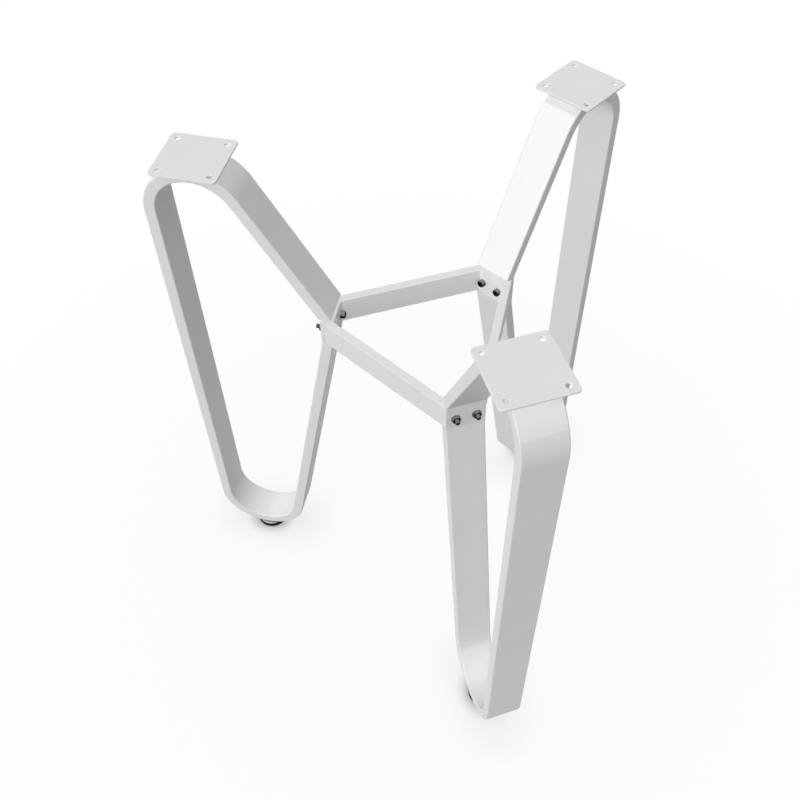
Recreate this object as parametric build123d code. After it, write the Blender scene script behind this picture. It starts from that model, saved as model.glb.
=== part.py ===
from build123d import *
import os
from math import asin, atan2, cos, degrees, hypot, radians, sin, sqrt, tan

os.makedirs("parts", exist_ok=True)

# Three loop legs stand round the Z axis and are bolted to a six-sided ring.
# Sizes are in millimetres. The floor is at zero and each leg is drawn along +X, then turned.
base_height = 730.0
legs_in_turn = ["a", "c", "b"]
first_leg_angle = 180.0
leg_angle_step = 360.0 / len(legs_in_turn)

# Flat tube of a leg loop
tube_width = 50.0
tube_depth = 15.0
tube_wall = 2.0
tube_corner = 1.2
loop_reach = 336.0
loop_bottom = 18.5
crest_radius = 64.0
foot_bend_radius = 67.0

# Joint plate, which closes the loop's waist beside the ring
waist_radius = 136.0
joint_plate_depth = 5.0
joint_lap = 3.5
joint_above_ring = 3.3
joint_below_ring = 0.2

# Top plate, screwed up into the table top
plate_side = 80.0
plate_thickness = 2.5
plate_corner = 5.0
plate_hole_spacing = 60.0
plate_hole_radius = 3.25

# Centre ring, mitred from flat bar
ring_bar_depth = 11.0
ring_height = 35.0
ring_level = 500.8

# Ring screws, washers and nuts, size M6
screw_edge = 12.0
screw_radius = 3.0
screw_hole_radius = 3.3
screw_length = 25.0
screw_head_radius = 5.0
screw_head_height = 6.0
screw_socket_width = 5.0
screw_socket_depth = 3.0
washer_radius = 6.0
washer_hole_radius = 3.2
washer_thickness = 1.2
nut_width = 10.0
nut_height = 3.2
nut_bore_radius = 3.05

# Levelling foot, size M8
stud_radius = 4.0
stud_running_gap = 0.06
stud_top = 27.5
stud_seat = 7.0
insert_radius = 6.0
insert_top = 30.5
foot_radius = 23.5
pad_height = 5.0
pad_edge = 0.8
cap_radius = 22.2
cap_rim_height = 1.0
cap_boss_radius = 8.0
cap_boss_foot = 10.6
cap_boss_top = 12.5
cap_dome_radius = 26.0
cap_dome_steps = 4

# Levels of the ring and of the two ends of a loop
ring_low = ring_level - ring_height / 2
waist_low = ring_low - joint_below_ring
waist_top = ring_low + ring_height + joint_above_ring

# Centres of the two bends, as radius and height in the leg's upright plane
crest_height = base_height - plate_thickness
crest_bend = (loop_reach - crest_radius, crest_height - crest_radius)
foot_bend = (loop_reach - foot_bend_radius, loop_bottom + foot_bend_radius)


def lean_of_side(corner, centre, radius):
    """Lean from upright of the side that runs from a corner and touches a bend towards the axis."""
    across = centre[0] - corner[0]
    along = abs(centre[1] - corner[1])
    return atan2(across, along) - asin(radius / hypot(across, along))


upper_lean = lean_of_side((waist_radius, waist_top), crest_bend, crest_radius - tube_depth)
lower_lean = lean_of_side((waist_radius, waist_low), foot_bend, foot_bend_radius - tube_depth)


def tube_path(end_inset):
    """Centre line of the tube from its upper end, over the crest and round the foot to its lower end.

    The upper end laps behind the top edge of the joint plate.
    """
    half = tube_depth / 2
    upper_side = (-cos(upper_lean), sin(upper_lean))
    upper_way = (sin(upper_lean), cos(upper_lean))
    lower_side = (-cos(lower_lean), -sin(lower_lean))
    lower_way = (sin(lower_lean), -cos(lower_lean))
    start_inset = end_inset - joint_lap
    start = (
        waist_radius + half * upper_side[0] + start_inset * upper_way[0],
        waist_top + half * upper_side[1] + start_inset * upper_way[1],
    )
    end = (
        waist_radius + half * lower_side[0] + end_inset * lower_way[0],
        waist_low + half * lower_side[1] + end_inset * lower_way[1],
    )
    crest_line = crest_radius - half
    foot_line = foot_bend_radius - half
    upper_bend = CenterArc(crest_bend, crest_line, 180 - degrees(upper_lean), degrees(upper_lean) - 180)
    lower_bend = CenterArc(foot_bend, foot_line, 0, degrees(lower_lean) - 180)
    runs = [
        Line(start, upper_bend @ 0),
        upper_bend,
        Line(upper_bend @ 1, lower_bend @ 0),
        lower_bend,
        Line(lower_bend @ 1, end),
    ]
    return Plane.XZ * Wire(runs)


def swept(section, path):
    """Sweeps a flat section, its width across the leg, along a path."""
    section_plane = Plane(origin=path @ 0, x_dir=(0, 1, 0), z_dir=path % 0)
    return sweep(section_plane * section, path=path)


def leg_tube():
    """Bent tube with eased corners, hollow up to its two closed ends and drilled for the foot."""
    section = chamfer(Rectangle(tube_width, tube_depth).vertices(), tube_corner)
    hollow = Rectangle(tube_width - 2 * tube_wall, tube_depth - 2 * tube_wall)
    outside = swept(section, tube_path(0))
    inside = swept(hollow, tube_path(tube_wall))
    insert_hole = extrude(Plane((foot_bend[0], 0, 0)) * Circle(insert_radius), loop_bottom + tube_depth / 2)
    return outside - inside - insert_hole


def top_plate():
    holes = GridLocations(plate_hole_spacing, plate_hole_spacing, 2, 2) * Circle(plate_hole_radius)
    outline = RectangleRounded(plate_side, plate_side, plate_corner) - holes
    return extrude(Plane((crest_bend[0], 0, crest_height)) * outline, plate_thickness)


joint_face = waist_radius - joint_plate_depth
ring_inner_face = joint_face - ring_bar_depth
screw_spacing = tube_width - 2 * screw_edge


def at_screws(radius):
    """The two screw places on a face at this radius, looking outwards."""
    return Plane(origin=(radius, 0, ring_level), x_dir=(0, 1, 0), z_dir=(1, 0, 0)) * GridLocations(
        screw_spacing, 0, 2, 1
    )


def bored(body, radius, depth, bore_radius):
    return body - [place * extrude(Circle(bore_radius), depth) for place in at_screws(radius)]


def joint_plate():
    """Plate between the ends of the tube, cut to fit against both."""
    lap_radius = waist_radius - joint_lap * sin(upper_lean)
    lap_level = waist_top - joint_lap * cos(upper_lean)
    outline = Polyline(
        (waist_radius, waist_low),
        (waist_radius, waist_top),
        (lap_radius, lap_level),
        (joint_face, lap_level + (lap_radius - joint_face) * tan(upper_lean)),
        (joint_face, waist_low - joint_plate_depth * tan(lower_lean)),
        close=True,
    )
    body = extrude(Plane.XZ * make_face(outline), tube_width / 2, both=True)
    return bored(body, joint_face, joint_plate_depth, screw_hole_radius)


# Corners of the ring beside one leg, as radius and half width
ring_outer_corner = (joint_face, tube_width / 2)
mitre_step = ring_bar_depth * tan(radians(leg_angle_step / 4))
ring_inner_corner = (ring_inner_face, tube_width / 2 - mitre_step)


def ring_piece(corners):
    return extrude(Plane((0, 0, ring_low)) * make_face(Polyline(*corners, close=True)), ring_height)


def ring_end():
    outer_r, outer_t = ring_outer_corner
    inner_r, inner_t = ring_inner_corner
    body = ring_piece([(outer_r, -outer_t), (outer_r, outer_t), (inner_r, inner_t), (inner_r, -inner_t)])
    return bored(body, ring_inner_face, ring_bar_depth, screw_hole_radius)


def ring_bar():
    """The bar from one leg to the next one round."""
    corners = [ring_outer_corner, ring_inner_corner]
    for radius, half_width in (ring_inner_corner, ring_outer_corner):
        next_corner = Vector(radius, -half_width).rotate(Axis.Z, leg_angle_step)
        corners.append((next_corner.X, next_corner.Y))
    return ring_piece(corners)


def ring_screws():
    hexagon_radius = screw_socket_width / sqrt(3)
    head = Pos(0, 0, -screw_head_height) * extrude(Circle(screw_head_radius), screw_head_height)
    socket = RegularPolygon(hexagon_radius, 6)
    head -= Pos(0, 0, -screw_head_height) * extrude(socket, screw_socket_depth)
    screw = head + extrude(Circle(screw_radius), screw_length)
    return Compound([place * screw for place in at_screws(ring_inner_face)])


def ring_washers():
    washer = extrude(Circle(washer_radius) - Circle(washer_hole_radius), washer_thickness)
    return Compound([place * washer for place in at_screws(waist_radius)])


def ring_nuts():
    nut = extrude(RegularPolygon(nut_width / sqrt(3), 6) - Circle(nut_bore_radius), nut_height)
    return Compound([place * nut for place in at_screws(waist_radius + washer_thickness)])


foot_axis = Pos(foot_bend[0], 0, 0)


def foot_insert():
    ring = Circle(insert_radius) - Circle(stud_radius + stud_running_gap)
    return foot_axis * Pos(0, 0, loop_bottom) * extrude(ring, insert_top - loop_bottom)


def foot_stud():
    return foot_axis * Pos(0, 0, stud_seat) * extrude(Circle(stud_radius), stud_top - stud_seat)


def foot_pad():
    pad = extrude(Circle(foot_radius), pad_height)
    return foot_axis * chamfer(pad.edges().sort_by(Axis.Z)[-1], pad_edge)


def foot_cap():
    """Domed cap with a boss that holds the stud. The dome is turned in short cones."""
    rim = (cap_radius, pad_height + cap_rim_height)
    dome = RadiusArc(rim, (cap_boss_radius, cap_boss_foot), -cap_dome_radius)
    outline = Polyline(
        (0, stud_seat),
        (0, pad_height),
        (cap_radius, pad_height),
        *[dome @ (step / cap_dome_steps) for step in range(cap_dome_steps + 1)],
        (cap_boss_radius, cap_boss_top),
        (stud_radius, cap_boss_top),
        (stud_radius, stud_seat),
        close=True,
    )
    return foot_axis * revolve(Plane.XZ * make_face(outline), Axis.Z)


# One node for each piece of a leg, and one for the bar from that leg to the next
leg_pieces = {
    "leg_tube": leg_tube(),
    "top_plate": top_plate(),
    "joint_plate": joint_plate(),
    "ring_end": ring_end(),
    "ring_screws": ring_screws(),
    "ring_washers": ring_washers(),
    "ring_nuts": ring_nuts(),
    "foot_insert": foot_insert(),
    "foot_stud": foot_stud(),
    "foot_pad": foot_pad(),
    "foot_cap": foot_cap(),
}
bar = ring_bar()
for turn, leg in enumerate(legs_in_turn):
    place = Rot(0, 0, first_leg_angle + turn * leg_angle_step)
    for name, piece in leg_pieces.items():
        export_step(place * piece, f"parts/{name}_{leg}.step")
    next_leg = legs_in_turn[(turn + 1) % len(legs_in_turn)]
    export_step(place * bar, f"parts/ring_bar_{leg}{next_leg}.step")

path_length = tube_path(0).length
print(f"tube path {path_length:.1f} mm, tube volume {leg_pieces['leg_tube'].volume / 1000:.1f} cm3")
print(f"upper side leans {degrees(upper_lean):.2f} degrees, lower side {degrees(lower_lean):.2f} degrees")
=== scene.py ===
import bmesh
import bpy
from math import asin, atan2, cos, hypot, pi, radians, sin, sqrt
from mathutils import Matrix, Vector


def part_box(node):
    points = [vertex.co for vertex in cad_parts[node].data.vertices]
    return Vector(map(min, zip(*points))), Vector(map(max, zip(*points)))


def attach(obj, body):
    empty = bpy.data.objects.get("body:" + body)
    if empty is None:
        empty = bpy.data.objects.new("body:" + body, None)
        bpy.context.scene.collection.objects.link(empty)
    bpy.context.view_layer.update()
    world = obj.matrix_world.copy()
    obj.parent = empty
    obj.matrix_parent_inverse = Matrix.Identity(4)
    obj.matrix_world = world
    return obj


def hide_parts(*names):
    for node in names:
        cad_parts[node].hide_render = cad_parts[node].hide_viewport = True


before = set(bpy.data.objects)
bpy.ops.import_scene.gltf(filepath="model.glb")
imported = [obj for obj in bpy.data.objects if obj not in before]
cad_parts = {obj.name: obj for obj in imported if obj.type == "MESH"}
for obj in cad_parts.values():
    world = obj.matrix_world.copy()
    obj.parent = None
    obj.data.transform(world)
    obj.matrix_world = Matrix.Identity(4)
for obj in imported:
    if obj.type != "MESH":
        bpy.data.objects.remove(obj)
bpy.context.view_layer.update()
scene = bpy.context.scene
mm = 0.001
legTurns = {"a": radians(180), "b": radians(60), "c": radians(300)}
print("frame loaded,", len(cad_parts), "CAD nodes")


def legSpan(node):
    # leg a lies along -X, so its box gives radii from the middle of the base
    low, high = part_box(node + "_a")
    return {"inner": -high[0], "outer": -low[0], "half": high[1], "low": low[2], "high": high[2]}


tubeSpan = legSpan("leg_tube")
topSpan = legSpan("top_plate")
jointSpan = legSpan("joint_plate")
ringSpan = legSpan("ring_end")
insertSpan = legSpan("foot_insert")
studSpan = legSpan("foot_stud")
capSpan = legSpan("foot_cap")
padSpan = legSpan("foot_pad")
ringLevel = (ringSpan["low"] + ringSpan["high"]) / 2
footRadius = (padSpan["inner"] + padSpan["outer"]) / 2


# materials

def newMaterial(name):
    material = bpy.data.materials.new(name)
    material.use_nodes = True
    return material, material.node_tree, material.node_tree.nodes["Principled BSDF"]


def addNode(tree, kind, inputs=None, **settings):
    node = tree.nodes.new(kind)
    for name, value in settings.items():
        setattr(node, name, value)
    for name, value in (inputs or {}).items():
        if isinstance(value, bpy.types.NodeSocket):
            tree.links.new(value, node.inputs[name])
        else:
            node.inputs[name].default_value = value
    return node


def addMath(tree, operation, *values, clamp=False):
    node = addNode(tree, "ShaderNodeMath", dict(enumerate(values)), operation=operation, use_clamp=clamp)
    return node.outputs[0]


def grainNoise(tree, grainSize, detail=2.0, stretch=(1, 1, 1)):
    # noise whose lumps are about grainSize across, fixed to the piece
    place = addNode(tree, "ShaderNodeTexCoord")
    spread = addNode(tree, "ShaderNodeMapping", {"Vector": place.outputs["Object"], "Scale": stretch})
    return addNode(tree, "ShaderNodeTexNoise", {
        "Vector": spread.outputs["Vector"], "Scale": 1 / grainSize, "Detail": detail, "Roughness": 0.55})


grainSpread = {"shade": (0.3, 0.7), "colour": (0.32, 0.68)}       # where most of the noise lies


def shadeRange(tree, noise, low, high):
    least, most = grainSpread["shade"]
    spread = addNode(tree, "ShaderNodeMapRange", {
        "Value": noise.outputs["Fac"], "From Min": least, "From Max": most, "To Min": low, "To Max": high})
    return spread.outputs["Result"]


def colourRange(tree, noise, first, second):
    ramp = addNode(tree, "ShaderNodeValToRGB", {"Fac": noise.outputs["Fac"]})
    stops = ramp.color_ramp.elements
    stops[0].position, stops[1].position = grainSpread["colour"]
    stops[0].color, stops[1].color = (*first, 1), (*second, 1)
    return ramp.outputs["Color"]


def addBump(tree, shader, height, depth, strength):
    bump = addNode(tree, "ShaderNodeBump", {"Height": height, "Distance": depth, "Strength": strength})
    tree.links.new(bump.outputs["Normal"], shader.inputs["Normal"])


powderCoat = {
    "clean": (0.865, 0.865, 0.868), "soft": (0.842, 0.842, 0.846), "cloudSize": 90 * mm,
    "gloss": (0.36, 0.46), "peelSize": 1.6 * mm, "peelDepth": 0.05 * mm, "peelStrength": 0.22,
    "ior": 1.48, "shine": 0.18,
}


def makePowderCoat():
    material, tree, shader = newMaterial("white powder coat")
    clouds = grainNoise(tree, powderCoat["cloudSize"], 3)
    peel = grainNoise(tree, powderCoat["peelSize"], 1.5)
    colour = colourRange(tree, clouds, powderCoat["soft"], powderCoat["clean"])
    tree.links.new(colour, shader.inputs["Base Color"])
    tree.links.new(shadeRange(tree, peel, *powderCoat["gloss"]), shader.inputs["Roughness"])
    shader.inputs["IOR"].default_value = powderCoat["ior"]
    shader.inputs["Specular IOR Level"].default_value = powderCoat["shine"]
    addBump(tree, shader, peel.outputs["Fac"], powderCoat["peelDepth"], powderCoat["peelStrength"])
    return material


# black steel with a painted sheen: its upward-facing sides get a lighter grey that stands in for light from
# above
blackOxide = {
    "dark": (0.002, 0.002, 0.002), "worn": (0.008, 0.008, 0.009), "patchSize": 1.5 * mm,
    "paintedSheen": (0.26, 0.26, 0.27), "paintedSheenFrom": 0.15, "paintedSheenTo": 0.8,
    "gloss": (0.42, 0.6), "grainSize": 0.25 * mm, "grainDepth": 0.01 * mm, "grainStrength": 0.3,
    "metal": 0.2, "shine": 0.1,
}


def makeBlackOxide():
    material, tree, shader = newMaterial("black oxide steel")
    patches = grainNoise(tree, blackOxide["patchSize"], 4)
    grain = grainNoise(tree, blackOxide["grainSize"])
    oxide = colourRange(tree, patches, blackOxide["dark"], blackOxide["worn"])
    facing = addNode(tree, "ShaderNodeNewGeometry")
    upward = addNode(tree, "ShaderNodeSeparateXYZ", {0: facing.outputs["Normal"]})
    # the socket's faces carry a mask that keeps the painted sheen off them
    noPaintedSheen = addNode(tree, "ShaderNodeAttribute", attribute_name="noPaintedSheen")
    sheenFacing = addMath(tree, "SUBTRACT", upward.outputs["Z"], noPaintedSheen.outputs["Fac"])
    paintedSheenMask = addNode(tree, "ShaderNodeMapRange", {          # painted sheen: upward-facing sides are painted a lighter grey, standing in for light caught from above
        "Value": sheenFacing, "From Min": blackOxide["paintedSheenFrom"], "From Max": blackOxide["paintedSheenTo"],
    }, interpolation_type="SMOOTHSTEP")
    oxideWithPaintedSheen = addNode(tree, "ShaderNodeMix", {"Factor": paintedSheenMask.outputs["Result"]}, data_type="RGBA")
    tree.links.new(oxide, oxideWithPaintedSheen.inputs[6])
    oxideWithPaintedSheen.inputs[7].default_value = (*blackOxide["paintedSheen"], 1)
    tree.links.new(oxideWithPaintedSheen.outputs[2], shader.inputs["Base Color"])
    tree.links.new(shadeRange(tree, grain, *blackOxide["gloss"]), shader.inputs["Roughness"])
    shader.inputs["Metallic"].default_value = blackOxide["metal"]
    shader.inputs["Specular IOR Level"].default_value = blackOxide["shine"]
    addBump(tree, shader, grain.outputs["Fac"], blackOxide["grainDepth"], blackOxide["grainStrength"])
    return material


zincPlate = {
    "dull": (0.2, 0.2, 0.21), "bright": (0.3, 0.3, 0.31), "patchSize": 2.5 * mm,
    "gloss": (0.26, 0.44), "grainSize": 0.2 * mm, "grainDepth": 0.008 * mm, "grainStrength": 0.25,
}


def makeZincPlate():
    material, tree, shader = newMaterial("zinc plate")
    patches = grainNoise(tree, zincPlate["patchSize"], 3)
    grain = grainNoise(tree, zincPlate["grainSize"])
    colour = colourRange(tree, patches, zincPlate["dull"], zincPlate["bright"])
    tree.links.new(colour, shader.inputs["Base Color"])
    tree.links.new(shadeRange(tree, patches, *zincPlate["gloss"]), shader.inputs["Roughness"])
    shader.inputs["Metallic"].default_value = 1.0
    addBump(tree, shader, grain.outputs["Fac"], zincPlate["grainDepth"], zincPlate["grainStrength"])
    return material


footChrome = {
    "low": (0.3, 0.3, 0.31), "high": (0.4, 0.4, 0.41), "smearSize": 9 * mm, "gloss": (0.06, 0.16),
    "turnMarks": 0.35 * mm, "markDepth": 0.004 * mm, "markStrength": 0.15,
}


def makeFootChrome():
    material, tree, shader = newMaterial("foot chrome")
    smears = grainNoise(tree, footChrome["smearSize"], 3)
    marks = grainNoise(tree, footChrome["turnMarks"], 1, stretch=(0.05, 0.05, 1))
    colour = colourRange(tree, smears, footChrome["low"], footChrome["high"])
    tree.links.new(colour, shader.inputs["Base Color"])
    tree.links.new(shadeRange(tree, smears, *footChrome["gloss"]), shader.inputs["Roughness"])
    shader.inputs["Metallic"].default_value = 1.0
    addBump(tree, shader, marks.outputs["Fac"], footChrome["markDepth"], footChrome["markStrength"])
    return material


padRubber = {
    "dark": (0.004, 0.004, 0.004), "dusty": (0.012, 0.012, 0.012), "dustSize": 6 * mm,
    "gloss": (0.55, 0.8), "grainSize": 0.5 * mm, "grainDepth": 0.03 * mm, "grainStrength": 0.4,
    "shine": 0.15,
}


def makePadRubber():
    material, tree, shader = newMaterial("pad rubber")
    dust = grainNoise(tree, padRubber["dustSize"], 4)
    grain = grainNoise(tree, padRubber["grainSize"])
    colour = colourRange(tree, dust, padRubber["dark"], padRubber["dusty"])
    tree.links.new(colour, shader.inputs["Base Color"])
    tree.links.new(shadeRange(tree, dust, *padRubber["gloss"]), shader.inputs["Roughness"])
    shader.inputs["Specular IOR Level"].default_value = padRubber["shine"]
    addBump(tree, shader, grain.outputs["Fac"], padRubber["grainDepth"], padRubber["grainStrength"])
    return material


finishes = {
    "white_coat": makePowderCoat(), "black_steel": makeBlackOxide(), "plated_steel": makeZincPlate(),
    "bright_chrome": makeFootChrome(), "black_rubber": makePadRubber(),
}
print("materials made:", ", ".join(finishes))


# mesh helpers

def turned(angle):
    return Matrix.Rotation(angle, 4, "Z")


def finishMesh(mesh, slot, sharp=40):
    mesh.materials.clear()
    mesh.materials.append(finishes[slot])
    mesh.polygons.foreach_set("use_smooth", [True] * len(mesh.polygons))
    mesh.set_sharp_from_angle(angle=radians(sharp))


def addPiece(name, mesh, slot, body, nodes, evenNormals=False):
    finishMesh(mesh, slot)
    piece = bpy.data.objects.new(name, mesh)
    scene.collection.objects.link(piece)
    if evenNormals:                       # flat faces stay flat beside small rounded edges
        weighting = piece.modifiers.new("flat faces", "WEIGHTED_NORMAL")
        weighting.keep_sharp = True
    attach(piece, body)
    if nodes:
        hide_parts(*nodes)
    return piece


def meshFrom(name, bm):
    bmesh.ops.recalc_face_normals(bm, faces=bm.faces)
    mesh = bpy.data.meshes.new(name)
    bm.to_mesh(mesh)
    bm.free()
    return mesh


def skinLoops(bm, loops):
    count = len(loops[0])
    for first, second in zip(loops, loops[1:]):
        for i in range(count):
            j = (i + 1) % count
            bm.faces.new((first[i], first[j], second[j], second[i]))


def ringsMesh(name, rings, bored=False):
    # rings of points, all of one length, joined in turn; then closed at both ends,
    # or for a bored piece joined from the last ring to the first
    bm = bmesh.new()
    loops = [[bm.verts.new(point) for point in ring] for ring in rings]
    if bored:
        skinLoops(bm, loops + loops[:1])
    else:
        skinLoops(bm, loops)
        bm.faces.new(loops[0])
        bm.faces.new(loops[-1])
    return meshFrom(name, bm)


def circleRing(radius, height, count):
    turns = [2 * pi * i / count for i in range(count)]
    return [(radius * cos(turn), radius * sin(turn), height) for turn in turns]


def hexRing(flats, height, count):
    # points round a hexagon at the same angles as a circle's
    ring = []
    for i in range(count):
        angle = 2 * pi * i / count
        reach = flats / 2 / cos((angle % (pi / 3)) - pi / 6)
        ring.append((reach * cos(angle), reach * sin(angle), height))
    return ring


def lathe(name, profile, count, bored=False):
    return ringsMesh(name, [circleRing(radius, height, count) for radius, height in profile], bored)


def arcPoints(centre, radius, start, end, count):
    angles = [start + (end - start) * i / count for i in range(count + 1)]
    return [(centre[0] + radius * cos(a), centre[1] + radius * sin(a)) for a in angles]


# the thread's depth is a share of its pitch, and the bevel at an end a share of that depth
threadForm = {"depth": 0.54, "endDepth": 0.75, "sides": 36, "stepsPerTurn": 8}


def threadRod(name, radius, pitch, low, high):
    # rod with a V thread, bevelled at both ends
    depth, count, stepsPerTurn = threadForm["depth"] * pitch, threadForm["sides"], threadForm["stepsPerTurn"]
    steps = round((high - low) / pitch * stepsPerTurn)
    rings = []
    for k in range(steps + 1):
        height = low + (high - low) * k / steps
        fromEnd = min(height - low, high - height)
        ring = []
        for i in range(count):
            turn = (height / pitch - i / count) % 1
            reach = radius - depth * abs(2 * turn - 1)
            reach = min(reach, radius - threadForm["endDepth"] * depth + fromEnd)
            ring.append((reach * cos(2 * pi * i / count), reach * sin(2 * pi * i / count), height))
        rings.append(ring)
    return ringsMesh(name, rings)


def cornerArcs(corners, radius, steps):
    # arcs that round a polygon's corners, given counterclockwise
    arcs = []
    for before, corner, after in zip(corners[-1:] + corners[:-1], corners, corners[1:] + corners[:1]):
        into = (Vector(corner) - Vector(before)).normalized()
        away = (Vector(after) - Vector(corner)).normalized()
        sweep = -into.angle_signed(away)
        centre = Vector(corner) + (away - into).normalized() * radius / cos(sweep / 2)
        arcs.append((centre, atan2(-into.x, into.y), sweep, steps))
    return arcs


def outlinePoints(arcs, radius):
    points = []
    for centre, start, sweep, steps in arcs:
        for i in range(steps + 1):
            angle = start + sweep * i / steps
            points.append((centre[0] + radius * cos(angle), centre[1] + radius * sin(angle)))
    return points


def slabMesh(name, outer, holes, low, high, edge, rounds=3):
    # flat piece with rounded edges: outer and holes are (arcs, radius) pairs
    bm = bmesh.new()
    bends = [pi / 2 * i / rounds for i in range(rounds + 1)]
    levels = [(edge * (1 - sin(a)), low + edge * (1 - cos(a))) for a in bends]
    levels += [(edge * (1 - cos(a)), high - edge * (1 - sin(a))) for a in bends]
    rims = {0: [], len(levels) - 1: []}
    for (arcs, radius), inward in [(outer, -1)] + [(hole, 1) for hole in holes]:
        loops = []
        for inset, height in levels:
            points = outlinePoints(arcs, radius + inward * inset)
            loops.append([bm.verts.new((x, y, height)) for x, y in points])
        skinLoops(bm, loops)
        count = len(loops[0])
        for k in rims:
            rims[k] += [bm.edges.get((loops[k][i], loops[k][(i + 1) % count])) for i in range(count)]
    for edges in rims.values():
        bmesh.ops.triangle_fill(bm, use_beauty=True, edges=edges)
    return meshFrom(name, bm)


def joined(name, meshes):
    bm = bmesh.new()
    for mesh in meshes:
        bm.from_mesh(mesh)
    whole = bpy.data.meshes.new(name)
    bm.to_mesh(whole)
    bm.free()
    return whole


def drilled(mesh, drill):
    host, tool = bpy.data.objects.new("host", mesh), bpy.data.objects.new("drill", drill)
    for item in (host, tool):
        scene.collection.objects.link(item)
    cut = host.modifiers.new("drill", "BOOLEAN")
    cut.operation, cut.solver, cut.object = "DIFFERENCE", "EXACT", tool
    ready = bpy.context.evaluated_depsgraph_get()
    done = bpy.data.meshes.new_from_object(host.evaluated_get(ready), depsgraph=ready)
    host.modifiers.remove(cut)
    for item in (host, tool):
        bpy.data.objects.remove(item)
    return done


# node trees

def newTree(name, inputs):
    tree = bpy.data.node_groups.new(name, "GeometryNodeTree")
    tree.interface.new_socket("Geometry", in_out="INPUT", socket_type="NodeSocketGeometry")
    for label, kind in inputs.items():
        tree.interface.new_socket(label, in_out="INPUT", socket_type="NodeSocket" + kind)
    tree.interface.new_socket("Geometry", in_out="OUTPUT", socket_type="NodeSocketGeometry")
    return tree, addNode(tree, "NodeGroupInput").outputs


def endTree(tree, geometry, material):
    realised = addNode(tree, "GeometryNodeRealizeInstances", {"Geometry": geometry})
    painted = addNode(tree, "GeometryNodeSetMaterial", {
        "Geometry": realised.outputs[0], "Material": material})
    addNode(tree, "NodeGroupOutput", {"Geometry": painted.outputs[0]})


def runTree(tree, values, startMesh=None):
    host = bpy.data.objects.new("host", startMesh or bpy.data.meshes.new("empty"))
    scene.collection.objects.link(host)
    modifier = host.modifiers.new("nodes", "NODES")
    modifier.node_group = tree
    for item in tree.interface.items_tree:
        if item.in_out == "INPUT" and item.name in values:
            modifier[item.identifier] = values[item.name]
    host.update_tag()
    ready = bpy.context.evaluated_depsgraph_get()
    mesh = bpy.data.meshes.new_from_object(host.evaluated_get(ready), depsgraph=ready)
    host.modifiers.remove(modifier)
    bpy.data.objects.remove(host)
    return mesh


# leg loops: one flat tube bent round a path

legLoop = {
    "depth": 15 * mm, "cornerRadius": 1.8 * mm, "cornerSteps": 4, "bendSteps": 44,
    "crestRadius": 64 * mm, "footBendRadius": 67 * mm,
    "jointAboveRing": 3.3 * mm, "jointBelowRing": 0.2 * mm, "jointLap": 3.5 * mm,
    "wall": 2 * mm, "holeGap": 0.05 * mm, "holeSides": 48,
}


def leanOfSide(corner, centre, radius):
    across = centre[0] - corner[0]
    along = abs(centre[1] - corner[1])
    return atan2(across, along) - asin(radius / hypot(across, along))


def loopCorners():
    # corners of the tube's middle line, with the bend radius at each, from the upper end to the lower
    half = legLoop["depth"] / 2
    reach = tubeSpan["outer"]
    waist = jointSpan["outer"]
    waistTop = ringSpan["high"] + legLoop["jointAboveRing"]
    waistLow = ringSpan["low"] - legLoop["jointBelowRing"]
    crestBend = (reach - legLoop["crestRadius"], tubeSpan["high"] - legLoop["crestRadius"])
    footBend = (reach - legLoop["footBendRadius"], tubeSpan["low"] + legLoop["footBendRadius"])
    upper = leanOfSide((waist, waistTop), crestBend, legLoop["crestRadius"] - legLoop["depth"])
    lower = leanOfSide((waist, waistLow), footBend, legLoop["footBendRadius"] - legLoop["depth"])
    upperWay = Vector((sin(upper), 0, cos(upper)))
    lowerWay = Vector((sin(lower), 0, -cos(lower)))
    start = Vector((waist - half * cos(upper), 0, waistTop + half * sin(upper)))
    start -= upperWay * legLoop["jointLap"]
    end = Vector((waist - half * cos(lower), 0, waistLow - half * sin(lower)))
    outside = reach - half
    crestLine = legLoop["crestRadius"] - half
    return [
        (start, 0.0),
        (start + upperWay * (outside - start.x) / sin(upper), crestLine),
        (end + lowerWay * (outside - end.x) / sin(lower), legLoop["footBendRadius"] - half),
        (end, 0.0),
    ]


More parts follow.
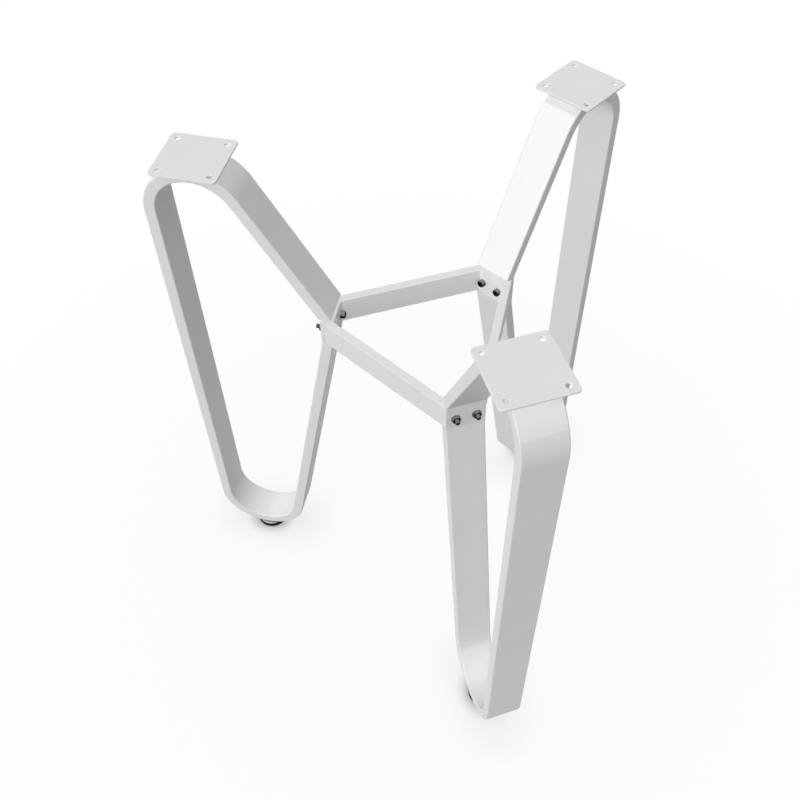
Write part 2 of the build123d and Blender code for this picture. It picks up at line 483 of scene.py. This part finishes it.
def makeLoopTree():
    tree, given = newTree("bent flat tube", {
        "Width": "Float", "Depth": "Float", "Corner Radius": "Float", "Corner Steps": "Int",
        "Bend Steps": "Int", "Hole Radius": "Float", "Hole Depth": "Float", "Hole Sides": "Int",
        "Hole Place": "Vector", "Turn": "Float", "Coat": "Material"})
    path = addNode(tree, "GeometryNodeMeshToCurve", {"Mesh": given["Geometry"]})
    bendRadius = addNode(tree, "GeometryNodeInputNamedAttribute", {"Name": "bendRadius"}, data_type="FLOAT")
    bent = addNode(tree, "GeometryNodeFilletCurve", {
        "Curve": path.outputs[0], "Count": given["Bend Steps"], "Radius": bendRadius.outputs[0]}, mode="POLY")
    section = addNode(tree, "GeometryNodeCurvePrimitiveQuadrilateral", {
        "Width": given["Width"], "Height": given["Depth"]})
    eased = addNode(tree, "GeometryNodeFilletCurve", {
        "Curve": section.outputs[0], "Count": given["Corner Steps"], "Radius": given["Corner Radius"],
    }, mode="POLY")
    tube = addNode(tree, "GeometryNodeCurveToMesh", {
        "Curve": bent.outputs[0], "Profile Curve": eased.outputs[0], "Fill Caps": True})
    drill = addNode(tree, "GeometryNodeMeshCylinder", {
        "Vertices": given["Hole Sides"], "Radius": given["Hole Radius"], "Depth": given["Hole Depth"]})
    atFoot = addNode(tree, "GeometryNodeTransform", {
        "Geometry": drill.outputs["Mesh"], "Translation": given["Hole Place"]})
    pierced = addNode(tree, "GeometryNodeMeshBoolean", {
        "Mesh 1": tube.outputs[0], "Mesh 2": atFoot.outputs[0]}, operation="DIFFERENCE", solver="EXACT")
    spin = addNode(tree, "ShaderNodeCombineXYZ", {"Z": given["Turn"]})
    placed = addNode(tree, "GeometryNodeTransform", {
        "Geometry": pierced.outputs[0], "Rotation": spin.outputs[0]})
    endTree(tree, placed.outputs[0], given["Coat"])
    return tree


def loopPath():
    corners = loopCorners()
    path = bpy.data.meshes.new("loop path")
    path.from_pydata([point for point, bend in corners], [(i, i + 1) for i in range(len(corners) - 1)], [])
    radii = path.attributes.new("bendRadius", "FLOAT", "POINT")
    radii.data.foreach_set("value", [bend for point, bend in corners])
    return path


loopTree = makeLoopTree()
holeTop = tubeSpan["low"] + legLoop["depth"] - legLoop["wall"]      # room for the stud above the bush
holeLow = 2 * tubeSpan["low"] - holeTop
for leg, turn in legTurns.items():
    tube = runTree(loopTree, {
        "Width": 2 * tubeSpan["half"], "Depth": legLoop["depth"], "Corner Radius": legLoop["cornerRadius"],
        "Corner Steps": legLoop["cornerSteps"], "Bend Steps": legLoop["bendSteps"], "Turn": turn,
        "Hole Radius": (insertSpan["outer"] - insertSpan["inner"]) / 2 + legLoop["holeGap"],
        "Hole Depth": holeTop - holeLow, "Hole Sides": legLoop["holeSides"],
        "Hole Place": (footRadius, 0, (holeTop + holeLow) / 2), "Coat": finishes["white_coat"]}, loopPath())
    addPiece("legLoop_" + leg, tube, "white_coat", "base", ["leg_tube_" + leg], evenNormals=True)
    print("leg loop", leg, "has", len(tube.polygons), "faces")


# top plates

topPlate = {
    "corner": 5 * mm, "cornerSteps": 8, "edge": 0.6 * mm,
    "holeSpacing": 60 * mm, "holeRadius": 3.25 * mm, "holeSides": 40,
}
plateMiddle = (topSpan["outer"] + topSpan["inner"]) / 2


def topPlateMesh():
    half = (topSpan["outer"] - topSpan["inner"]) / 2
    square = [(-half, -half), (half, -half), (half, half), (-half, half)]
    apart, sides = topPlate["holeSpacing"] / 2, topPlate["holeSides"]
    holes = []
    for x in (-apart, apart):
        for y in (-apart, apart):
            arc = ((x, y), 0.0, 2 * pi * (sides - 1) / sides, sides - 1)
            holes.append(([arc], topPlate["holeRadius"]))
    outer = (cornerArcs(square, topPlate["corner"], topPlate["cornerSteps"]), topPlate["corner"])
    mesh = slabMesh("top plate", outer, holes, topSpan["low"], topSpan["high"], topPlate["edge"])
    mesh.transform(Matrix.Translation((plateMiddle, 0, 0)))
    return mesh


# weld beads under the plates, in the wedges beside the crest of a loop

plateWeld = {
    "apart": 26 * mm, "length": 46 * mm, "radius": 2.4 * mm, "sunk": 0.5,
    "ripple": 0.13, "rippleStep": 1.7 * mm, "pointsPerRipple": 6, "sides": 14, "seed": 3,
}


def makeBeadTree():
    tree, given = newTree("weld bead", {
        "Length": "Float", "Radius": "Float", "Ripple": "Float", "Ripple Step": "Float", "Seed": "Int",
        "Place": "Vector", "Coat": "Material"})
    half = addMath(tree, "MULTIPLY", given["Length"], 0.5)
    back = addMath(tree, "MULTIPLY", given["Length"], -0.5)
    first = addNode(tree, "ShaderNodeCombineXYZ", {"Y": back})
    last = addNode(tree, "ShaderNodeCombineXYZ", {"Y": half})
    line = addNode(tree, "GeometryNodeCurvePrimitiveLine", {
        "Start": first.outputs[0], "End": last.outputs[0]})
    fine = addMath(tree, "DIVIDE", given["Ripple Step"], plateWeld["pointsPerRipple"])
    points = addNode(tree, "GeometryNodeResampleCurve", {
        "Curve": line.outputs[0], "Length": fine}, mode="LENGTH")
    number = addNode(tree, "GeometryNodeInputIndex")
    phase = addMath(tree, "MULTIPLY", number.outputs[0], 2 * pi / plateWeld["pointsPerRipple"])
    wave = addMath(tree, "SINE", phase)
    waver = addNode(tree, "FunctionNodeRandomValue", {"Seed": given["Seed"]}, data_type="FLOAT")
    waver.inputs[2].default_value = -0.5
    waver.inputs[3].default_value = 0.5
    uneven = addMath(tree, "ADD", wave, waver.outputs[1])
    swell = addMath(tree, "MULTIPLY_ADD", uneven, given["Ripple"], 1.0)
    girth = addMath(tree, "MULTIPLY", swell, given["Radius"])
    section = addNode(tree, "GeometryNodeCurvePrimitiveCircle", {
        "Resolution": plateWeld["sides"], "Radius": 1.0})
    bead = addNode(tree, "GeometryNodeCurveToMesh", {
        "Curve": points.outputs[0], "Profile Curve": section.outputs[0], "Scale": girth, "Fill Caps": True})
    placed = addNode(tree, "GeometryNodeTransform", {
        "Geometry": bead.outputs[0], "Translation": given["Place"]})
    endTree(tree, placed.outputs[0], given["Coat"])
    return tree


beadTree = makeBeadTree()
beadLevel = topSpan["low"] - plateWeld["sunk"] * plateWeld["radius"]
for leg, turn in legTurns.items():
    parts = [topPlateMesh()]
    for side in (-0.5, 0.5):
        parts.append(runTree(beadTree, {
            "Length": plateWeld["length"], "Radius": plateWeld["radius"], "Ripple": plateWeld["ripple"],
            "Ripple Step": plateWeld["rippleStep"], "Seed": plateWeld["seed"], "Coat": finishes["white_coat"],
            "Place": (plateMiddle + side * plateWeld["apart"], 0, beadLevel)}))
    plate = joined("top plate", parts)
    plate.transform(turned(turn))
    addPiece("topPlate_" + leg, plate, "white_coat", "base", ["top_plate_" + leg], evenNormals=True)
print("top plates made, each with two weld beads")


# screw holes, through each joint plate and the ring beside it

ringFixings = {
    "count": 2, "spacing": 26 * mm, "seed": 5,
    "holeRadius": 3.3 * mm, "holeSides": 32, "holeOver": 1 * mm,
}


def screwDrills(turns):
    radius, sides, over = ringFixings["holeRadius"], ringFixings["holeSides"], ringFixings["holeOver"]
    ends = (ringSpan["inner"] - over, jointSpan["outer"] + over)
    rods = []
    for turn in turns:
        for side in (-0.5, 0.5):
            rod = ringsMesh("drill", [circleRing(radius, end, sides) for end in ends])
            across = Matrix.Translation((0, side * ringFixings["spacing"], ringLevel))
            rod.transform(turned(turn) @ across @ Matrix.Rotation(radians(90), 4, "Y"))
            rods.append(rod)
    return joined("drills", rods)


# joint plates close the loops, with their ends hidden inside the tube

jointPlate = {"tuck": 4 * mm, "edge": 0.5 * mm, "corner": 0.6 * mm, "cornerSteps": 3}


def jointPlateMesh():
    inner, outer = jointSpan["inner"], jointSpan["outer"]
    low = ringSpan["low"] - legLoop["jointBelowRing"] - jointPlate["tuck"]
    high = ringSpan["high"] + legLoop["jointAboveRing"] + jointPlate["tuck"]
    corners = [(inner, low), (outer, low), (outer, high), (inner, high)]
    half, corner = jointSpan["half"], jointPlate["corner"]
    outline = (cornerArcs(corners, corner, jointPlate["cornerSteps"]), corner)
    mesh = slabMesh("joint plate", outline, [], -half, half, jointPlate["edge"])
    mesh.transform(Matrix.Rotation(radians(90), 4, "X"))
    return drilled(mesh, screwDrills([0]))


for leg, turn in legTurns.items():
    plate = jointPlateMesh()
    plate.transform(turned(turn))
    addPiece("jointPlate_" + leg, plate, "white_coat", "base", ["joint_plate_" + leg], evenNormals=True)
print("joint plates made")


# centre ring, welded from mitred bar and ground smooth before coating

centreRing = {"edge": 0.45 * mm, "outerCorner": 0.6 * mm, "innerCorner": 0.8 * mm, "cornerSteps": 4}


def ringCorners(radius, half):
    corners = []
    for turn in sorted(legTurns.values()):
        for side in (-half, half):
            corners.append((radius * cos(turn) - side * sin(turn), radius * sin(turn) + side * cos(turn)))
    return corners


def centreRingMesh():
    depth = ringSpan["outer"] - ringSpan["inner"]
    outerCorners = ringCorners(ringSpan["outer"], ringSpan["half"])
    innerCorners = ringCorners(ringSpan["inner"], ringSpan["half"] - depth / sqrt(3))
    steps = centreRing["cornerSteps"]
    outer = (cornerArcs(outerCorners, centreRing["outerCorner"], steps), centreRing["outerCorner"])
    inner = (cornerArcs(innerCorners, centreRing["innerCorner"], steps), centreRing["innerCorner"])
    ring = slabMesh("centre ring", outer, [inner], ringSpan["low"], ringSpan["high"], centreRing["edge"])
    return drilled(ring, screwDrills(legTurns.values()))


ringNodes = ["ring_end_" + leg for leg in legTurns] + ["ring_bar_" + pair for pair in ("ac", "cb", "ba")]
addPiece("centreRing", centreRingMesh(), "white_coat", "base", ringNodes, evenNormals=True)
print("centre ring made")


# screws, washers and nuts of the ring, two of each to a leg

ringScrew = {
    "radius": 3 * mm, "pitch": 1 * mm, "length": 25 * mm, "headRadius": 5 * mm, "headHeight": 6 * mm,
    "socket": 5 * mm, "socketDepth": 3 * mm, "knurls": 36, "knurlDepth": 0.12 * mm, "threadFrom": 13 * mm,
    "threadLap": 0.5 * mm,
}
ringWasher = {"radius": 6 * mm, "hole": 3.2 * mm, "thickness": 1.2 * mm, "edge": 0.25 * mm, "sides": 48}
ringNut = {
    "flats": 10 * mm, "height": 3.2 * mm, "bore": 3.05 * mm, "lead": 0.5 * mm,
    "faceShare": 0.95, "chamfer": radians(30), "sides": 72,
}


def screwMesh():
    # head under z=0, plain shank and thread above it
    s = ringScrew
    count = 2 * s["knurls"]
    tall, radius = s["headHeight"], s["headRadius"]
    knurled = [radius - s["knurlDepth"] * (i % 2) for i in range(count)]

    def knurlRing(height):
        turns = [2 * pi * i / count for i in range(count)]
        return [(r * cos(turn), r * sin(turn), height) for r, turn in zip(knurled, turns)]

    rings = [
        circleRing(0.2 * mm, s["socketDepth"] - tall + 0.5 * mm, count),     # cone at the socket's floor
        hexRing(s["socket"], s["socketDepth"] - tall, count),
        hexRing(s["socket"], 0.25 * mm - tall, count),
        circleRing(s["socket"] / 2 + 0.7 * mm, -tall, count),                # face and eased edge of the head
        circleRing(radius - 0.6 * mm, -tall, count),
        circleRing(radius - 0.25 * mm, 0.12 * mm - tall, count),
        knurlRing(0.5 * mm - tall),
        knurlRing(-0.3 * mm),
        circleRing(radius - 0.3 * mm, 0, count),                             # underside, then the shank
        circleRing(s["radius"] + 0.2 * mm, 0, count),
        circleRing(s["radius"], 0.2 * mm, count),
        circleRing(s["radius"], s["threadFrom"], count),
    ]
    head = ringsMesh("screw head", rings)
    socketPoints = 4 * count              # the first four rings, in the socket, get no painted sheen and stay dark
    noSheenLayer = head.attributes.new("noPaintedSheen", "FLOAT", "POINT")
    noSheenLayer.data.foreach_set("value", [1.0 if i < socketPoints else 0.0 for i in range(len(head.vertices))])
    threadLow = s["threadFrom"] - s["threadLap"]
    thread = threadRod("screw thread", s["radius"], s["pitch"], threadLow, s["length"])
    return joined("ring screw", [head, thread])


def washerMesh():
    w = ringWasher
    edge, top = w["edge"], w["thickness"]
    profile = [
        (w["hole"], edge), (w["hole"] + edge, 0), (w["radius"] - edge, 0), (w["radius"], edge),
        (w["radius"], top - edge), (w["radius"] - edge, top),
        (w["hole"] + edge, top), (w["hole"], top - edge),
    ]
    return lathe("washer", profile, w["sides"], bored=True)


def nutMesh():
    # the chamfer is a cone, so it cuts curved edges into the six flats
    n = ringNut
    count, flats, top = n["sides"], n["flats"], n["height"]
    bore, lead = n["bore"], n["lead"]
    reach = n["faceShare"] * flats / 2

    def flatRing(height, rising):
        ring = []
        for x, y, _ in hexRing(flats, height, count):
            ring.append((x, y, height + rising * (hypot(x, y) - reach) * sin(n["chamfer"])))
        return ring

    rings = [
        circleRing(bore, lead, count), circleRing(bore + lead, 0, count),
        circleRing(reach, 0, count), flatRing(0, 1),
        flatRing(top, -1), circleRing(reach, top, count),
        circleRing(bore + lead, top, count), circleRing(bore, top - lead, count),
    ]
    return ringsMesh("nut", rings, bored=True)


def makeFixingTree():
    tree, given = newTree("row of fixings", {
        "Fixing": "Object", "Count": "Int", "Spacing": "Float", "Radius": "Float", "Level": "Float",
        "Turn": "Float", "Seed": "Int", "Finish": "Material"})
    gap = addNode(tree, "ShaderNodeCombineXYZ", {"Y": given["Spacing"]})
    row = addNode(tree, "GeometryNodeMeshLine", {"Count": given["Count"], "Offset": gap.outputs[0]})
    fixing = addNode(tree, "GeometryNodeObjectInfo", {"Object": given["Fixing"], "As Instance": True})
    spin = addNode(tree, "FunctionNodeRandomValue", {"Seed": given["Seed"]}, data_type="FLOAT")
    spin.inputs[3].default_value = 2 * pi               # each one is turned by chance
    stance = addNode(tree, "ShaderNodeCombineXYZ", {"Z": spin.outputs[1]})
    outward = addNode(tree, "FunctionNodeRotateRotation", {
        "Rotation": stance.outputs[0], "Rotate By": (0.0, radians(90), 0.0)}, rotation_space="GLOBAL")
    placedRow = addNode(tree, "GeometryNodeInstanceOnPoints", {
        "Points": row.outputs[0], "Instance": fixing.outputs["Geometry"], "Rotation": outward.outputs[0]})
    back = addMath(tree, "MULTIPLY", given["Spacing"], -0.5)
    spans = addMath(tree, "ADD", given["Count"], -1.0)
    start = addMath(tree, "MULTIPLY", back, spans)
    shift = addNode(tree, "ShaderNodeCombineXYZ", {"X": given["Radius"], "Y": start, "Z": given["Level"]})
    atRing = addNode(tree, "GeometryNodeTransform", {
        "Geometry": placedRow.outputs[0], "Translation": shift.outputs[0]})
    turn = addNode(tree, "ShaderNodeCombineXYZ", {"Z": given["Turn"]})
    atLeg = addNode(tree, "GeometryNodeTransform", {
        "Geometry": atRing.outputs[0], "Rotation": turn.outputs[0]})
    endTree(tree, atLeg.outputs[0], given["Finish"])
    return tree


fixingTree = makeFixingTree()
fixings = {
    "ring_screws": (screwMesh(), ringSpan["inner"], "black_steel"),
    "ring_washers": (washerMesh(), jointSpan["outer"], "plated_steel"),
    "ring_nuts": (nutMesh(), jointSpan["outer"] + ringWasher["thickness"], "black_steel"),
}
for node, (mesh, radius, slot) in fixings.items():
    pattern = bpy.data.objects.new(node + " pattern", mesh)
    scene.collection.objects.link(pattern)
    for number, (leg, turn) in enumerate(legTurns.items()):
        row = runTree(fixingTree, {
            "Fixing": pattern, "Count": ringFixings["count"], "Spacing": ringFixings["spacing"],
            "Radius": radius, "Level": ringLevel, "Turn": turn, "Seed": ringFixings["seed"] + number,
            "Finish": finishes[slot]})
        addPiece(node + "_set_" + leg, row, slot, "base", [node + "_" + leg])
    bpy.data.objects.remove(pattern)
print("ring fixings made")


# levelling feet

footStud = {"radius": 4 * mm, "pitch": 1.25 * mm, "gap": 0.06 * mm}
footInsert = {
    "flange": 7.6 * mm, "flangeDrop": 0.5 * mm, "flangeTop": 0.7 * mm, "edge": 0.2 * mm, "sides": 48,
}
footCap = {
    "boss": 8 * mm, "bossFoot": 10.6 * mm, "neckStep": 0.2 * mm, "neckRise": 0.3 * mm,
    "domeRadius": 26 * mm, "domeSteps": 14, "rim": 1.2 * mm, "edge": 0.35 * mm, "sides": 96,
}
footPad = {
    "edge": 0.8 * mm, "ribs": 4, "ribWidth": 1.2 * mm, "ribDepth": 0.5 * mm, "ribSlope": 0.2 * mm,
    "middle": 0.5 * mm, "sides": 96,
}


def insertMesh():
    bore, body = footStud["radius"] + footStud["gap"], (insertSpan["outer"] - insertSpan["inner"]) / 2
    low, high, edge = insertSpan["low"] - footInsert["flangeDrop"], insertSpan["high"], footInsert["edge"]
    flange, shoulder = footInsert["flange"], insertSpan["low"] + footInsert["flangeTop"]
    profile = [
        (bore, low + edge), (bore + edge, low), (flange - edge, low), (flange, low + edge),
        (flange, shoulder), (body, shoulder), (body, high), (bore, high),
    ]
    return lathe("insert", profile, footInsert["sides"], bored=True)


def capMesh():
    outer, low, top = (capSpan["outer"] - capSpan["inner"]) / 2, capSpan["low"], capSpan["high"]
    rim, boss, edge = low + footCap["rim"], footCap["boss"], footCap["edge"]
    rise, run = footCap["bossFoot"] - rim, outer - boss
    half = hypot(rise, run) / 2
    slope = atan2(rise, -run)
    sag = sqrt(footCap["domeRadius"] ** 2 - half ** 2)
    middle = ((outer + boss) / 2, (rim + footCap["bossFoot"]) / 2)
    centre = (middle[0] - sag * sin(slope), middle[1] + sag * cos(slope))
    start = atan2(rim - centre[1], outer - centre[0])
    end = atan2(footCap["bossFoot"] - centre[1], boss - centre[0])
    profile = [(outer - edge, low), (outer, low + edge)]
    profile += arcPoints(centre, footCap["domeRadius"], start, end, footCap["domeSteps"])
    neck, neckFoot = boss - footCap["neckStep"], footCap["bossFoot"] + footCap["neckRise"]
    profile += [(neck, neckFoot), (neck, top - edge), (neck - edge, top), (footStud["radius"], top)]
    return lathe("cap", profile, footCap["sides"])


def padMesh():
    outer, low, top = (padSpan["outer"] - padSpan["inner"]) / 2, padSpan["low"], padSpan["high"]
    edge, middle = footPad["edge"], footPad["middle"]
    deep, wide, slope = low + footPad["ribDepth"], footPad["ribWidth"], footPad["ribSlope"]
    ribs = []
    for k in range(footPad["ribs"]):
        inner = outer * (k + 1) / (footPad["ribs"] + 1.5)
        ribs += [(inner, low), (inner + slope, deep), (inner + wide - slope, deep), (inner + wide, low)]
    profile = [(middle, low)] + ribs
    profile += arcPoints((outer - edge / 2, low + edge / 2), edge / 2, -pi / 2, 0, 4)
    profile += arcPoints((outer - edge, top - edge), edge, 0, pi / 2, 5)
    profile += [(middle, top)]
    return lathe("pad", profile, footPad["sides"])


for leg, turn in legTurns.items():
    place = turned(turn) @ Matrix.Translation((footRadius, 0, 0))
    stud = threadRod("stud", footStud["radius"], footStud["pitch"], studSpan["low"], studSpan["high"])
    feet = {
        "foot_insert": (insertMesh(), "plated_steel", "base"),
        "foot_stud": (stud, "plated_steel", "foot_" + leg),
        "foot_cap": (capMesh(), "bright_chrome", "foot_" + leg),
        "foot_pad": (padMesh(), "black_rubber", "foot_" + leg),
    }
    for node, (mesh, slot, body) in feet.items():
        mesh.transform(place)
        addPiece(node + "_turned_" + leg, mesh, slot, body, [node + "_" + leg])
print("levelling feet made")


# floor, light and camera

studio = {
    "floorSize": 40.0, "floorSeen": (0.97, 0.97, 0.97), "floorBounce": (0.09, 0.09, 0.09),
    "floorGlow": 0.84, "glowNear": 0.3, "glowFar": 1.1,
    "contactReach": 26 * mm, "contactShade": 0.0, "poolReach": 75 * mm, "poolShade": 0.72,
    "lampDistance": 9.0, "lampSize": 9.9, "shadowShare": 0.08,
    "keyWay": (-0.4, -0.72, 0.57), "keyPower": 1010.0, "fillWay": (0.1, 0.9, 0.42), "fillPower": 90.0,
    "skyUp": 0.46, "skyLow": 0.38, "skyFrom": -0.1, "skyTo": 0.9,
}
viewpoint = {
    "eye": (0.1656, -0.8194, 1.3827), "azimuth": 12.127, "elevation": 50.368,
    "focalPixels": 959.85, "middlePixel": 421.94, "frame": 800.0, "sensor": 36,
}


def seenRays(tree):
    path = addNode(tree, "ShaderNodeLightPath")
    some = addMath(tree, "ADD", path.outputs["Is Camera Ray"], path.outputs["Is Glossy Ray"])
    return addMath(tree, "ADD", some, path.outputs["Is Transmission Ray"], clamp=True)


def shelteredShade(tree, reach, darkest):
    nearby = addNode(tree, "ShaderNodeAmbientOcclusion", {"Distance": reach}, samples=8)
    shade = addNode(tree, "ShaderNodeMapRange", {
        "Value": nearby.outputs["AO"], "To Min": darkest, "To Max": 1.0})
    return shade.outputs["Result"]


def makeFloorMaterial():
    material = bpy.data.materials.new("pale floor")
    material.use_nodes = True
    tree = material.node_tree
    tree.nodes.remove(tree.nodes["Principled BSDF"])
    seen = seenRays(tree)
    shade = addNode(tree, "ShaderNodeMix", {"Factor": seen}, data_type="RGBA")
    shade.inputs[6].default_value = (*studio["floorBounce"], 1)
    shade.inputs[7].default_value = (*studio["floorSeen"], 1)
    matt = addNode(tree, "ShaderNodeBsdfDiffuse", {"Color": shade.outputs[2]})
    contact = shelteredShade(tree, studio["contactReach"], studio["contactShade"])
    pool = shelteredShade(tree, studio["poolReach"], studio["poolShade"])
    dimmed = addMath(tree, "MULTIPLY", contact, pool)
    glow = addNode(tree, "ShaderNodeEmission", {"Color": (1, 1, 1, 1), "Strength": dimmed})
    spot = addNode(tree, "ShaderNodeTexCoord")
    away = addNode(tree, "ShaderNodeVectorMath", {0: spot.outputs["Object"]}, operation="LENGTH")
    fade = addNode(tree, "ShaderNodeMapRange", {        # the far floor is plain white, like the backdrop
        "Value": away.outputs["Value"], "From Min": studio["glowNear"], "From Max": studio["glowFar"],
        "To Min": studio["floorGlow"], "To Max": 1.0}, interpolation_type="SMOOTHSTEP")
    share = addMath(tree, "MULTIPLY", seen, fade.outputs["Result"])
    both = addNode(tree, "ShaderNodeMixShader", {0: share, 1: matt.outputs[0], 2: glow.outputs[0]})
    tree.links.new(both.outputs[0], tree.nodes["Material Output"].inputs["Surface"])
    return material


def makeFloor():
    half = studio["floorSize"] / 2
    mesh = bpy.data.meshes.new("floor")
    corners = [(-half, -half, 0), (half, -half, 0), (half, half, 0), (-half, half, 0)]
    mesh.from_pydata(corners, [], [(0, 1, 2, 3)])
    mesh.materials.append(makeFloorMaterial())
    floor = bpy.data.objects.new("floor", mesh)
    scene.collection.objects.link(floor)


def makeSky():
    world = bpy.data.worlds.new("studio")
    world.use_nodes = True
    scene.world = world
    tree = world.node_tree
    tree.nodes.remove(tree.nodes["Background"])
    way = addNode(tree, "ShaderNodeTexCoord")
    split = addNode(tree, "ShaderNodeSeparateXYZ", {0: way.outputs["Generated"]})
    level = addNode(tree, "ShaderNodeMapRange", {
        "Value": split.outputs["Z"], "From Min": studio["skyFrom"], "From Max": studio["skyTo"],
        "To Min": studio["skyLow"], "To Max": studio["skyUp"]})
    soft = addNode(tree, "ShaderNodeBackground", {"Color": (1, 1, 1, 1), "Strength": level.outputs["Result"]})
    white = addNode(tree, "ShaderNodeBackground", {"Color": (1, 1, 1, 1), "Strength": 1.0})
    both = addNode(tree, "ShaderNodeMixShader", {0: seenRays(tree), 1: soft.outputs[0], 2: white.outputs[0]})
    tree.links.new(both.outputs[0], tree.nodes["World Output"].inputs["Surface"])


def addLamp(name, way, power, shadow):
    lamp = bpy.data.lights.new(name, "AREA")
    lamp.shape = "DISK"
    lamp.size = studio["lampSize"]
    lamp.energy = power
    lamp.use_shadow = shadow
    holder = bpy.data.objects.new(name, lamp)
    away = Vector(way).normalized()
    holder.location = Vector((0, 0, ringLevel)) + away * studio["lampDistance"]
    holder.rotation_euler = away.to_track_quat("Z", "Y").to_euler()
    holder.visible_camera = False
    scene.collection.objects.link(holder)


def makeLamps():
    # nearly shadowless, as in a tent of white cloth
    power, share = studio["keyPower"], studio["shadowShare"]
    addLamp("key", studio["keyWay"], power * share, True)
    addLamp("even key", studio["keyWay"], power * (1 - share), False)
    addLamp("back fill", studio["fillWay"], studio["fillPower"], False)


def makeCamera():
    lens = bpy.data.cameras.new("camera")
    lens.sensor_width = viewpoint["sensor"]
    lens.lens = viewpoint["focalPixels"] * lens.sensor_width / viewpoint["frame"]
    lens.shift_x = 0.5 - viewpoint["middlePixel"] / viewpoint["frame"]
    camera = bpy.data.objects.new("camera", lens)
    camera.location = viewpoint["eye"]
    camera.rotation_euler = (radians(90 - viewpoint["elevation"]), 0, radians(viewpoint["azimuth"]))
    scene.collection.objects.link(camera)
    scene.camera = camera


makeFloor()
makeSky()
makeLamps()
makeCamera()
scene.view_settings.view_transform = "Standard"
print("floor, light and camera set")
